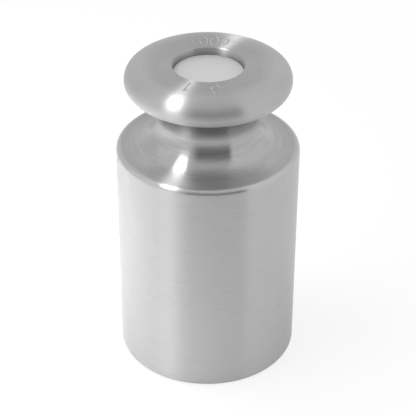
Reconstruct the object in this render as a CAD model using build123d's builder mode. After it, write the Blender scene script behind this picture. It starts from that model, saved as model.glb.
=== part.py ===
from build123d import *

import os
from math import atan2, cos, degrees, radians, sin, sqrt

# A one-kilogram stainless knob weight, turned from one bar, with an adjusting cavity bored
# down its axis, trimming shot in the cavity, a screwed plug over it and a seal disc on top.
# Millimetres, +Z up, origin at the centre of the face that it stands on.

# Body
body_radius = 24.0
body_height = 62.4
base_edge_radius = 1.2
shoulder_edge_radius = 1.5
shoulder_width = 1.0  # flat ring between the edge round and the groove

# Neck and knob
neck_radius = 13.5
knob_radius = 21.5
rim_radius = 3.5  # round of the knob's rim and underside
crown_radius = 6.0  # larger round that rolls the flat top into the rim
crown_angle = 35.0  # degrees of the larger round, from the flat top

# Recess, seal disc, plug and cavity, all on the axis
cavity_radius = 7.0
cavity_floor = 28.5  # solid steel left under the cavity
plug_shoulder = 1.0  # ledge that the plug is screwed down on
plug_length = 5.0
seal_ledge = 1.2  # ledge that the seal disc lies on
seal_thickness = 1.0
seal_depth = 2.0  # knob's top to the disc's face
recess_edge = 0.2
seal_edge = 0.1

# Screwdriver slot and trimming shot
slot_width = 2.0
slot_depth = 1.6
shot_radius = 1.5
ring_count = 6

# Clearances
seal_clearance = 0.15  # radial, disc in recess
plug_clearance = 0.05  # radial, plug in its bore
plug_headroom = 0.3  # plug's top to the underside of the disc
shot_clearance = 0.03  # between neighbouring shot

# Derived outline: the groove's arc runs from the shoulder round the neck and turns, on the
# line between the two centres, into the arc of the knob's rim.
groove_radius = body_radius - shoulder_edge_radius - shoulder_width - neck_radius
groove_center = Vector(neck_radius + groove_radius, body_height + groove_radius)
rim_offset = knob_radius - rim_radius - groove_center.X
rim_rise = sqrt((groove_radius + rim_radius) ** 2 - rim_offset**2)
rim_center = groove_center + Vector(rim_offset, rim_rise)
groove_end_angle = degrees(atan2(rim_rise, rim_offset))
crown_start_angle = 90.0 - crown_angle
crown_direction = Vector(cos(radians(crown_start_angle)), sin(radians(crown_start_angle)))
crown_center = rim_center - crown_direction * (crown_radius - rim_radius)
knob_top = crown_center.Y + crown_radius

# Derived bores, from the cavity outwards and from the knob's top down
plug_bore_radius = cavity_radius + plug_shoulder
recess_radius = plug_bore_radius + seal_ledge
seal_seat = knob_top - seal_depth - seal_thickness
plug_top = seal_seat - plug_headroom
plug_seat = plug_top - plug_length

os.makedirs("parts", exist_ok=True)

# Weight body: one turned piece, so one outline revolved, then bored from the top.
with BuildPart() as weight_body:
    with BuildSketch(Plane.XZ):
        with BuildLine():
            shoulder = Polyline(
                (0, 0),
                (body_radius, 0),
                (body_radius, body_height),
                (groove_center.X, body_height),
            )
            CenterArc(groove_center, groove_radius, 270, groove_end_angle - 270)
            CenterArc(
                rim_center,
                rim_radius,
                groove_end_angle - 180,
                crown_start_angle - (groove_end_angle - 180),
            )
            crown = CenterArc(crown_center, crown_radius, crown_start_angle, crown_angle)
            Polyline(crown @ 1, (0, knob_top), shoulder @ 0)
        make_face()
    revolve(axis=Axis.Z)

    body_edges = weight_body.edges().filter_by(GeomType.CIRCLE).sort_by(Axis.Z)
    fillet(body_edges[0], base_edge_radius)
    body_edges = weight_body.edges().filter_by(GeomType.CIRCLE)
    shoulder_edges = body_edges.filter_by_position(Axis.Z, body_height - 0.01, body_height + 0.01)
    fillet(shoulder_edges.sort_by(SortBy.RADIUS)[-1], shoulder_edge_radius)

    with Locations((0, 0, knob_top)):
        Hole(cavity_radius, knob_top - cavity_floor)
        Hole(plug_bore_radius, knob_top - plug_seat)
        Hole(recess_radius, knob_top - seal_seat)
    recess_rim = weight_body.faces().filter_by(Plane.XY).sort_by(Axis.Z)[-1].inner_wires()
    chamfer(recess_rim[0].edges(), recess_edge)
weight_body.part.label = "weight_body"
export_step(weight_body.part, "parts/weight_body.step")

# Cavity plug: a short brass screw, screwed down on the ledge at the cavity's mouth.
with BuildPart() as cavity_plug:
    with BuildSketch(Plane.XY.offset(plug_seat)):
        Circle(plug_bore_radius - plug_clearance)
    extrude(amount=plug_length)
    with BuildSketch(Plane.XY.offset(plug_top)):
        Rectangle(2 * plug_bore_radius, slot_width)
    extrude(amount=-slot_depth, mode=Mode.SUBTRACT)
cavity_plug.part.label = "cavity_plug"
export_step(cavity_plug.part, "parts/cavity_plug.step")

# Seal disc: a plain aluminium disc, pressed flat on its ledge over the plug.
with BuildPart() as seal_disc:
    with BuildSketch(Plane.XY.offset(seal_seat)):
        Circle(recess_radius - seal_clearance)
    extrude(amount=seal_thickness)
    fillet(seal_disc.edges().sort_by(Axis.Z)[-1], seal_edge)
seal_disc.part.label = "seal_disc"
export_step(seal_disc.part, "parts/seal_disc.step")

# Adjusting shot: one ball in the middle of the cavity's floor and a ring round it.
with BuildPart() as adjusting_shot:
    with Locations((0, 0, cavity_floor + shot_radius)):
        Sphere(shot_radius)
        with PolarLocations(2 * shot_radius + shot_clearance, ring_count):
            Sphere(shot_radius)
adjusting_shot.part.label = "adjusting_shot"
export_step(adjusting_shot.part, "parts/adjusting_shot.step")
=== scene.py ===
from math import atan2, ceil, cos, degrees, hypot, pi, radians, sin, sqrt

import bpy
from mathutils import Matrix, Vector


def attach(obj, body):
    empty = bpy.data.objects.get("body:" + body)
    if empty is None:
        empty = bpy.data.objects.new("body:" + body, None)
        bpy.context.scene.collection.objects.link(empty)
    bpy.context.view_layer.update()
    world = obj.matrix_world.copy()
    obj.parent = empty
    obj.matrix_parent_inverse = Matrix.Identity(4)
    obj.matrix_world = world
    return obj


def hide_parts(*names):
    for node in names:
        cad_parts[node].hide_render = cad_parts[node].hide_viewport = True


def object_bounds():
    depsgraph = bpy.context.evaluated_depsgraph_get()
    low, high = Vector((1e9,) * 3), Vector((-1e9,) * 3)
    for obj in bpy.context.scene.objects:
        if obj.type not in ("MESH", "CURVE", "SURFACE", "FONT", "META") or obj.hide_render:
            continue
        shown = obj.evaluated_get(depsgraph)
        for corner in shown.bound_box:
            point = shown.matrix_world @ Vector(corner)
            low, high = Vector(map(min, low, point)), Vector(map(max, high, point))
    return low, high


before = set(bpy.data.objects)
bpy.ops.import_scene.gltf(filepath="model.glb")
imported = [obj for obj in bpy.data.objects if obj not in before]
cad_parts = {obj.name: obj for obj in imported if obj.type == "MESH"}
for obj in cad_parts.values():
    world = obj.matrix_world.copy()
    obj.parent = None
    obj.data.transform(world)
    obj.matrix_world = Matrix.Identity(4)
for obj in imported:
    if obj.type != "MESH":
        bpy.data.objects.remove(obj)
cad_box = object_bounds()

# Camera: a long lens in front of the weight and well above it, so that the top of the knob
# and the front of the body both show. It is level to within a third of a degree.
camera_distance = 0.3295
camera_height = 0.2597
camera_pitch = 0.5843
camera_roll = 0.0052
image_width_px = 416
focal_length_px = 1470.8
principal_point_px = 207.70
sensor_width_mm = 36.0

camera = bpy.data.objects.new("camera", bpy.data.cameras.new("camera"))
bpy.context.scene.collection.objects.link(camera)
camera.location = (0.0, -camera_distance, camera_height)
camera.rotation_euler = (pi / 2 - camera_pitch, 0.0, 0.0)
camera.rotation_euler.rotate_axis("Z", camera_roll)
camera.data.sensor_width = sensor_width_mm
camera.data.lens = focal_length_px / image_width_px * sensor_width_mm
camera.data.shift_x = (image_width_px / 2 - principal_point_px) / image_width_px
bpy.context.scene.camera = camera
bpy.context.scene.view_settings.view_transform = "Standard"

# Weight body: body, grooved neck and knob, all turned from one bar of stainless steel and
# left with the fine rings of the lathe tool. It is bored from the top for the seal disc, the
# plug and the shot, and figures for its mass in grams are cut into the top of the knob.
body_radius = 0.0240
body_height = 0.0624
base_edge_radius = 0.0012
shoulder_edge_radius = 0.0015
neck_radius = 0.0135
groove_radius = 0.0080
knob_radius = 0.0215
rim_radius = 0.0035
crown_radius = 0.0060
crown_angle = 35.0
knob_top = cad_box[1][2]
recess_radius = 0.0092
recess_edge = 0.0004
seal_seat = knob_top - 0.0030
plug_bore_radius = 0.0080
plug_seat = seal_seat - 0.0053
cavity_radius = 0.0070
cavity_floor = 0.0285
support = 0.00015  # narrow band that keeps a flat face flat up to the round beside it


def arc(center, radius, start, end, step=4.0):
    """Points of an arc, its angles in degrees, with both ends."""
    count = max(2, ceil(abs(end - start) / step))
    angles = [radians(start + (end - start) * i / count) for i in range(count + 1)]
    return [(center[0] + radius * cos(a), center[1] + radius * sin(a)) for a in angles]


groove_center = (neck_radius + groove_radius, body_height + groove_radius)
rim_offset = knob_radius - rim_radius - groove_center[0]
rim_rise = sqrt((groove_radius + rim_radius) ** 2 - rim_offset**2)
rim_center = (groove_center[0] + rim_offset, groove_center[1] + rim_rise)
groove_end = degrees(atan2(rim_rise, rim_offset))
crown_start = 90.0 - crown_angle
crown_center = (
    rim_center[0] - (crown_radius - rim_radius) * cos(radians(crown_start)),
    rim_center[1] - (crown_radius - rim_radius) * sin(radians(crown_start)),
)

# The figures stand in the flat ring between the crown's round and the recess, read from
# outside, with their tops outwards. The mesh there is fine enough to hold each stroke.
fine_step = 0.00007
figure_inner = 0.0104
figure_outer = 0.0160
figure_middle = 0.0131
figure_height = 0.0046
figure_width = 0.0020
figure_pitch = 0.0028
stroke_half_width = 0.00018
stroke_depth = 0.00006
fine_per_turn = 1200
fine_per_coarse = 5
engraved = {"1000": (90.0, -64.0), "1": (-114.0,)}


def figure_strokes(figure):
    """Strokes of one figure as lists of points, its height and width both 1, centred."""
    if figure == "0":
        return [[(0.5 * cos(a), 0.5 * sin(a)) for a in (2 * pi * i / 24 for i in range(25))]]
    return [[(0.0, -0.5), (0.0, 0.5)], [(0.0, 0.5), (-0.45, 0.22)]]


def on_the_ring(across, up, angle):
    """A point of a figure that stands in the ring at an angle, in the plane of the top."""
    out = figure_middle + up * figure_height
    side = across * figure_width
    return out * cos(angle) + side * sin(angle), out * sin(angle) - side * cos(angle)


def engraving_strokes():
    """Segments of all the figures."""
    segments = []
    for text, places in engraved.items():
        for place in places:
            for i, figure in enumerate(text):
                turned = (i - (len(text) - 1) / 2) * figure_pitch / figure_middle
                angle = radians(place) - turned
                for stroke in figure_strokes(figure):
                    points = [on_the_ring(across, up, angle) for across, up in stroke]
                    segments += zip(points, points[1:])
    return segments


def distance_to_segment(x, y, segment):
    (ax, ay), (bx, by) = segment
    along_x, along_y = bx - ax, by - ay
    share = ((x - ax) * along_x + (y - ay) * along_y) / (along_x**2 + along_y**2)
    share = min(1.0, max(0.0, share))
    return hypot(x - ax - share * along_x, y - ay - share * along_y)


def near_figures(index):
    """Whether a fine column runs through a group of figures."""
    angle = 360.0 * index / fine_per_turn
    for text, places in engraved.items():
        reach = degrees(((len(text) - 1) * figure_pitch + 2 * figure_width) / 2 / figure_middle)
        for place in places:
            if abs((angle - place + 180.0) % 360.0 - 180.0) < reach:
                return True
    return False


coarse_columns = list(range(0, fine_per_turn, fine_per_coarse))
fine_columns = [
    i for i in range(fine_per_turn) if i % fine_per_coarse == 0 or near_figures(i)
]


def lathe(name, outline, ring=None, cut=None):
    """Turn an outline of (radius, height) points round Z into a closed mesh.

    Rows whose radius and height lie in the ring, and no others, take the fine columns, and
    cut gives how far a point there is sunk.
    """
    vertices, rows = [], []
    for radius, height in outline:
        in_ring = ring is not None and height > ring[2] and ring[0] <= radius <= ring[1]
        columns = fine_columns if in_ring else coarse_columns
        if radius == 0.0:
            columns = [0]
        row = {}
        for index in columns:
            angle = 2 * pi * index / fine_per_turn
            x, y = radius * cos(angle), radius * sin(angle)
            sunk = cut(x, y) if in_ring and cut else 0.0
            row[index] = len(vertices)
            vertices.append((x, y, height - sunk))
        rows.append(row)
    faces = []
    for lower, upper in zip(rows, rows[1:]):
        shared = fine_columns if len(lower) == len(upper) == len(fine_columns) else coarse_columns
        for start, end in zip(shared, shared[1:] + [fine_per_turn]):
            face = []
            for row, backwards in ((lower, False), (upper, True)):
                if len(row) == 1:
                    face.append(row[0])
                    continue
                steps = [i for i in range(start, end) if i in row] + [end]
                corners = [row[i % fine_per_turn] for i in steps]
                face += reversed(corners) if backwards else corners
            faces.append(face)
    mesh = bpy.data.meshes.new(name)
    mesh.from_pydata(vertices, [], faces)
    mesh.shade_smooth()
    mesh.set_sharp_from_angle(angle=radians(30.0))
    piece = bpy.data.objects.new(name, mesh)
    bpy.context.scene.collection.objects.link(piece)
    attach(piece, "root")
    return piece


strokes = engraving_strokes()


def engraving_depth(x, y):
    """How far the top is cut at a point: a rounded channel along each stroke."""
    nearest = min(distance_to_segment(x, y, segment) for segment in strokes)
    share = min(1.0, nearest / stroke_half_width)
    return stroke_depth * (1.0 - share * share) ** 2


def flat_ring(outer, inner):
    """Points across the ring that holds the figures, from its outer side inwards."""
    count = ceil((outer - inner) / fine_step)
    return [(outer + (inner - outer) * i / count, knob_top) for i in range(count + 1)]


side_bottom = base_edge_radius
side_top = body_height - shoulder_edge_radius
base_edge = (body_radius - base_edge_radius, side_bottom)
shoulder_edge = (body_radius - shoulder_edge_radius, side_top)
body_outline = [(0.0, 0.0), (base_edge[0] - support, 0.0)]
body_outline += arc(base_edge, base_edge_radius, -90, 0, 7.5)
body_outline.append((body_radius, side_bottom + support))
body_outline += [(body_radius, body_height * share) for share in (0.1, 0.3, 0.5, 0.7, 0.9)]
body_outline.append((body_radius, side_top - support))
body_outline += arc(shoulder_edge, shoulder_edge_radius, 0, 90, 6)
body_outline.append((shoulder_edge[0] - support, body_height))
body_outline.append((groove_center[0] + support, body_height))
body_outline += arc(groove_center, groove_radius, 270, groove_end, 3)
body_outline += arc(rim_center, rim_radius, groove_end - 180, crown_start, 4)[1:]
body_outline += arc(crown_center, crown_radius, crown_start, 90, 2.5)[1:]
body_outline.append((crown_center[0] - support, knob_top))
body_outline += flat_ring(figure_outer, figure_inner)
body_outline += arc((recess_radius + recess_edge, knob_top - recess_edge), recess_edge, 90, 180, 15)
body_outline += [(recess_radius, seal_seat), (plug_bore_radius, seal_seat)]
body_outline += [(plug_bore_radius, plug_seat), (cavity_radius, plug_seat)]
body_outline += [(cavity_radius, cavity_floor), (0.0, cavity_floor)]

turned_body = lathe(
    "turned_body",
    body_outline,
    ring=(figure_inner - 1e-6, figure_outer + 1e-6, knob_top - 1e-6),
    cut=engraving_depth,
)
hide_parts("weight_body")


class Wire:
    """A socket of a shader tree. Arithmetic on wires adds Math nodes to the tree."""

    def __init__(self, tree, socket=None):
        self.tree = tree
        self.socket = socket

    def node(self, kind, settings=None, inputs=None, output=0):
        made = self.tree.nodes.new(kind)
        for name, value in (settings or {}).items():
            setattr(made, name, value)
        for key, value in (inputs or {}).items():
            if isinstance(value, Wire):
                self.tree.links.new(value.socket, made.inputs[key])
            else:
                made.inputs[key].default_value = value
        return Wire(self.tree, made.outputs[output] if made.outputs else None)

    def out(self, name):
        return Wire(self.tree, self.socket.node.outputs[name])

    def math(self, operation, *values):
        return self.node("ShaderNodeMath", {"operation": operation}, dict(enumerate(values)))

    def __add__(self, other):
        return self.math("ADD", self, other)

    def __radd__(self, other):
        return self.math("ADD", other, self)

    def __sub__(self, other):
        return self.math("SUBTRACT", self, other)

    def __rsub__(self, other):
        return self.math("SUBTRACT", other, self)

    def __mul__(self, other):
        return self.math("MULTIPLY", self, other)

    def __rmul__(self, other):
        return self.math("MULTIPLY", other, self)

    def __truediv__(self, other):
        return self.math("DIVIDE", self, other)

    def __pow__(self, other):
        return self.math("POWER", self, other)

    def ramp(self, start, end, low=0.0, high=1.0):
        """A smooth step from low at start to high at end."""
        return self.node(
            "ShaderNodeMapRange",
            {"interpolation_type": "SMOOTHSTEP"},
            {"Value": self, "From Min": start, "From Max": end, "To Min": low, "To Max": high},
        )


def new_material(name):
    material = bpy.data.materials.new(name)
    material.use_nodes = True
    material.node_tree.nodes.clear()
    return material, Wire(material.node_tree)


def dress(piece, material):
    piece.data.materials.clear()
    piece.data.materials.append(material)


def metal(start, inputs):
    """A bare metal surface, wired to the material's output."""
    surface = start.node("ShaderNodeBsdfPrincipled", None, {"Metallic": 1.0, **inputs})
    start.node("ShaderNodeOutputMaterial", None, {"Surface": surface})


def color_between(shade, dark, light):
    """The dark colour where the shade is 0, the light one where it is 1."""
    return shade.node(
        "ShaderNodeMix",
        {"data_type": "RGBA"},
        {0: shade, 6: (*dark, 1.0), 7: (*light, 1.0)},
        output=2,
    )


def relief(height, depth, strength=1.0):
    """A normal tilted by a height that varies over the surface."""
    return height.node(
        "ShaderNodeBump", None, {"Strength": strength, "Distance": depth, "Height": height}
    )


def place_on_object(start):
    """X and Y, the distance from the axis, and the height above the base."""
    place = start.node("ShaderNodeTexCoord").out("Object")
    axes = start.node("ShaderNodeSeparateXYZ", None, {"Vector": place})
    x, y = axes.out("X"), axes.out("Y")
    return x, y, (x * x + y * y) ** 0.5, axes.out("Z")


tool_mark_length = 0.0080
fine_feed = 0.00035
coarse_feed = 0.0022
ring_depth = 0.000003
steel_dark = (0.41, 0.41, 0.408)
steel_light = (0.526, 0.526, 0.523)
neck_roughness = 0.20
rougher_shoulder = 0.21
rougher_side = 0.11
rougher_edge = 0.03
rougher_knob = 0.14
rougher_rim = 0.03
rougher_bore = 0.08
uneven_roughness = 0.06


def tool_rings(start, feed, shift):
    """Noise drawn out round the axis, as a lathe tool leaves it, one mark per feed."""
    x, y, radius, height = place_on_object(start)
    spread = start.node(
        "ShaderNodeCombineXYZ",
        None,
        {
            "X": x / tool_mark_length + shift,
            "Y": y / tool_mark_length,
            "Z": (height + radius) / feed,
        },
    )
    return start.node(
        "ShaderNodeTexNoise",
        {"noise_dimensions": "3D"},
        {"Vector": spread, "Scale": 1.0, "Detail": 2.0, "Roughness": 0.6},
    )


def turned_steel():
    """Stainless steel, finest in the neck and coarser on the shoulder, the side and the knob.

    Each zone is 1 where it holds and 0 elsewhere, and fades over the edge between them.
    """
    material, start = new_material("turned_stainless_steel")
    rings = tool_rings(start, fine_feed, 0.0)
    broad = tool_rings(start, coarse_feed, 7.0)
    _, _, radius, height = place_on_object(start)

    knob = height.ramp(0.0740, 0.0800)
    # Painted light: the crown and rim of the knob take a lighter steel colour.
    crown = radius.ramp(0.0130, knob_radius - 0.0005) * knob
    rim = radius.ramp(0.0180, knob_radius - 0.0010) * knob
    side = height.ramp(side_top + 0.0005, side_top - 0.0001)
    # Painted light: the outer side of the body takes a lighter steel colour.
    painted_side_light = radius.ramp(body_radius - 0.0008, body_radius - 0.0001)
    edge = radius.ramp(0.0226, 0.0230) * height.ramp(side_top, side_top + 0.0003)
    # The shoulder zone sets a rougher finish and also a lighter steel colour, which is painted light.
    shoulder = radius.ramp(0.0160, 0.0215) * (1.0 - side) * (1.0 - knob)
    bore = radius.ramp(recess_radius + 0.0003, recess_radius)
    # Painted light and shade on the bore wall: its colour is lighter near the mouth and darker down
    # by the seal disc.
    painted_bore_light_and_shade = height.ramp(knob_top - 0.0005, knob_top - 0.0020, -1.3, 2.4)

    roughness = (
        neck_roughness
        + shoulder * (1.0 - edge) * rougher_shoulder
        + side * rougher_side
        + edge * rougher_edge
        + knob * rougher_knob
        + rim * rougher_rim
        + bore * rougher_bore
        + (broad - 0.5) * uneven_roughness
    )
    shade = (
        0.4
        + painted_side_light * 0.6
        + crown * 1.1
        + shoulder * 0.5
        - bore * painted_bore_light_and_shade
        + (rings - 0.5) * (1.5 - knob * 0.8)
        + (broad - 0.5) * 0.35
    )
    metal(
        start,
        {
            "Base Color": color_between(shade, steel_dark, steel_light),
            "Roughness": roughness,
            "Anisotropic": 1.0,
            "Anisotropic Rotation": 0.25,
            "Normal": relief(rings, ring_depth),
        },
    )
    return material


dress(turned_body, turned_steel())

# Seal disc: a plain disc of soft aluminium, pressed down on the ledge over the plug. It shows
# that the cavity hasn't been opened, so nothing is cut or stamped in it.
seal_radius = 0.00905
seal_thickness = 0.0010
seal_edge = 0.0001
seal_top = seal_seat + seal_thickness
seal_support = 0.0003
pressed_feed = 0.0012
rolled_grain = 0.0004
rolled_depth = 0.000002
aluminium_dark = (0.67, 0.67, 0.67)
aluminium_light = (0.71, 0.71, 0.71)

seal_outline = [(0.0, seal_seat), (seal_radius, seal_seat)]
seal_outline += arc((seal_radius - seal_edge, seal_top - seal_edge), seal_edge, 0, 90, 22.5)
seal_outline += [(seal_radius - seal_support, seal_top), (0.0, seal_top)]
pressed_seal = lathe("pressed_seal", seal_outline)
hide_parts("seal_disc")


def fine_grain(start, size, detail):
    """Noise without direction, its grains about as large as the size."""
    place = start.node("ShaderNodeTexCoord").out("Object")
    scaled = start.node("ShaderNodeVectorMath", {"operation": "SCALE"}, {0: place, "Scale": 1 / size})
    return start.node("ShaderNodeTexNoise", None, {"Vector": scaled, "Scale": 1.0, "Detail": detail})


def matt_aluminium():
    """Pale aluminium with hardly any shine, its rolled face faintly marked by the press."""
    material, start = new_material("matt_aluminium")
    rings = tool_rings(start, pressed_feed, 3.0)
    grain = fine_grain(start, rolled_grain, 3.0)
    shade = 0.5 + (rings - 0.5) * 0.3 + (grain - 0.5) * 0.3
    metal(
        start,
        {
            "Base Color": color_between(shade, aluminium_dark, aluminium_light),
            "Roughness": 0.75 + (rings - 0.5) * 0.06,
            "Normal": relief(grain, rolled_depth, 0.5),
        },
    )
    return material


dress(pressed_seal, matt_aluminium())

# Cavity plug: a short brass screw with a driver's slot, turned down on the ledge at the
# cavity's mouth, under the seal disc. It is the solid of the frame as it stands.
plug_feed = 0.0004
plug_ring_depth = 0.000002
brass_dark = (0.62, 0.43, 0.16)
brass_light = (0.76, 0.56, 0.25)


def plug_brass():
    """Turned brass."""
    material, start = new_material("plug_brass")
    rings = tool_rings(start, plug_feed, 11.0)
    metal(
        start,
        {
            "Base Color": color_between(rings, brass_dark, brass_light),
            "Roughness": 0.3 + (rings - 0.5) * 0.1,
            "Normal": relief(rings, plug_ring_depth),
        },
    )
    return material


dress(bpy.data.objects["cavity_plug"], plug_brass())

# Adjusting shot: small steel balls, loose on the floor of the cavity. Some are added or taken
# out to bring the weight to its value before it is sealed. They are the frame's own solids.
cast_grain = 0.0006
shot_dark = (0.28, 0.28, 0.28)
shot_light = (0.42, 0.42, 0.41)


def shot_steel():
    """Grey cast steel, a little mottled."""
    material, start = new_material("shot_steel")
    mottle = fine_grain(start, cast_grain, 4.0)
    metal(
        start,
        {
            "Base Color": color_between(mottle, shot_dark, shot_light),
            "Roughness": 0.35 + (mottle - 0.5) * 0.2,
        },
    )
    return material


dress(bpy.data.objects["adjusting_shot"], shot_steel())

# Studio: a plain white floor that stops a little in front of the weight, a pale room with a
# darker gap in front and a lighter panel on each side of it, two soft strip lamps high on the
# left, a small one behind them, and a spot lamp that lights the floor on the left alone.
floor_half = 1.5
floor_front = 0.28
paper_white = (0.92, 0.92, 0.92, 1.0)
plain_to_camera = 0.8
plain_in_mirrors = 0.25
floor_corners = [
    (-floor_half, -floor_front, 0.0),
    (floor_half, -floor_front, 0.0),
    (floor_half, floor_half, 0.0),
    (-floor_half, floor_half, 0.0),
]
floor_mesh = bpy.data.meshes.new("floor")
floor_mesh.from_pydata(floor_corners, [], [(0, 1, 2, 3)])
floor = bpy.data.objects.new("floor", floor_mesh)
bpy.context.scene.collection.objects.link(floor)


def white_floor():
    """White paper that is mostly a plain white to the camera, so that the shadow is faint."""
    material, start = new_material("white_floor")
    path = start.node("ShaderNodeLightPath")
    mirrored = path.out("Is Glossy Ray") + path.out("Is Transmission Ray")
    plain_white = path.out("Is Camera Ray") * plain_to_camera + mirrored * plain_in_mirrors
    paper = start.node("ShaderNodeBsdfDiffuse", None, {"Color": paper_white})
    white = start.node("ShaderNodeEmission", None, {"Color": (1, 1, 1, 1), "Strength": 1.0})
    both = start.node("ShaderNodeMixShader", None, {0: plain_white, 1: paper, 2: white})
    start.node("ShaderNodeOutputMaterial", None, {"Surface": both})
    return material


dress(floor, white_floor())

# Turn and rise are a direction's angles from the front and from the floor, in degrees.
world = bpy.data.worlds.new("studio")
world.use_nodes = True
world.node_tree.nodes.clear()
bpy.context.scene.world = world
sky = Wire(world.node_tree)
direction = sky.node("ShaderNodeTexCoord").out("Generated")
axes = sky.node("ShaderNodeSeparateXYZ", None, {"Vector": direction})
turn = sky.math("ARCTAN2", axes.out("X"), axes.out("Y") * -1) * (180 / pi)
rise = sky.math("ARCSINE", axes.out("Z")) * (180 / pi)


def window(value, start, end, soft):
    """1 between two angles and 0 outside them, with soft edges."""
    return value.ramp(start - soft, start + soft) * value.ramp(end - soft, end + soft, 1.0, 0.0)


room_light = 0.84
darker_gap = 0.61
lighter_left = 0.15
lighter_right = 0.12
gap = turn.ramp(-40.0, -16.0) * turn.ramp(51.0, 41.0) * rise.ramp(44.0, 34.0)
panel_height = window(rise, 8.0, 75.0, 10.0)
left_panel = window(turn, -110.0, -36.0, 6.0) * panel_height
right_panel = window(turn, 52.0, 120.0, 6.0) * panel_height
light = room_light - gap * darker_gap + left_panel * lighter_left + right_panel * lighter_right
seen = sky.node("ShaderNodeLightPath").out("Is Camera Ray")
strength = light * (1.0 - seen) + seen
background = sky.node("ShaderNodeBackground", None, {"Color": (1, 1, 1, 1), "Strength": strength})
sky.node("ShaderNodeOutputWorld", None, {"Surface": background})

lamp_aim = Vector((0.0, 0.0, 0.08))


def toward(azimuth, elevation):
    """The unit vector at an azimuth and elevation in degrees."""
    turned, raised = radians(azimuth), radians(elevation)
    return Vector((cos(raised) * cos(turned), cos(raised) * sin(turned), sin(raised)))


def hang_strip(name, start, end, width, power):
    """A strip lamp between two directions from the knob, facing it from a metre away."""
    first, last = toward(*start), toward(*end)
    lamp_data = bpy.data.lights.new(name, "AREA")
    lamp_data.shape = "RECTANGLE"
    lamp_data.size = (last - first).length
    lamp_data.size_y = width
    lamp_data.energy = power
    lamp = bpy.data.objects.new(name, lamp_data)
    bpy.context.scene.collection.objects.link(lamp)
    middle = (first + last) / 2
    along, back = (last - first).normalized(), middle.normalized()
    turned = Matrix((along, back.cross(along), back)).transposed().to_4x4()
    lamp.matrix_world = Matrix.Translation(middle + lamp_aim) @ turned


hang_strip("left_strip", (-137.5, 28.0), (174.0, 68.0), 0.25, 1.8)
hang_strip("high_strip", (-160.0, 60.0), (168.0, 68.0), 0.16, 1.0)
hang_strip("top_strip", (160.0, 68.0), (108.0, 59.0), 0.12, 0.25)

spot_data = bpy.data.lights.new("floor_spot", "SPOT")
spot_data.energy = 2.25
spot_data.spot_size = radians(80.0)
spot_data.spot_blend = 1.0
spot_data.shadow_soft_size = 0.05
spot = bpy.data.objects.new("floor_spot", spot_data)
spot.location = (-0.095, 0.035, 0.20)
spot.visible_glossy = False
bpy.context.scene.collection.objects.link(spot)
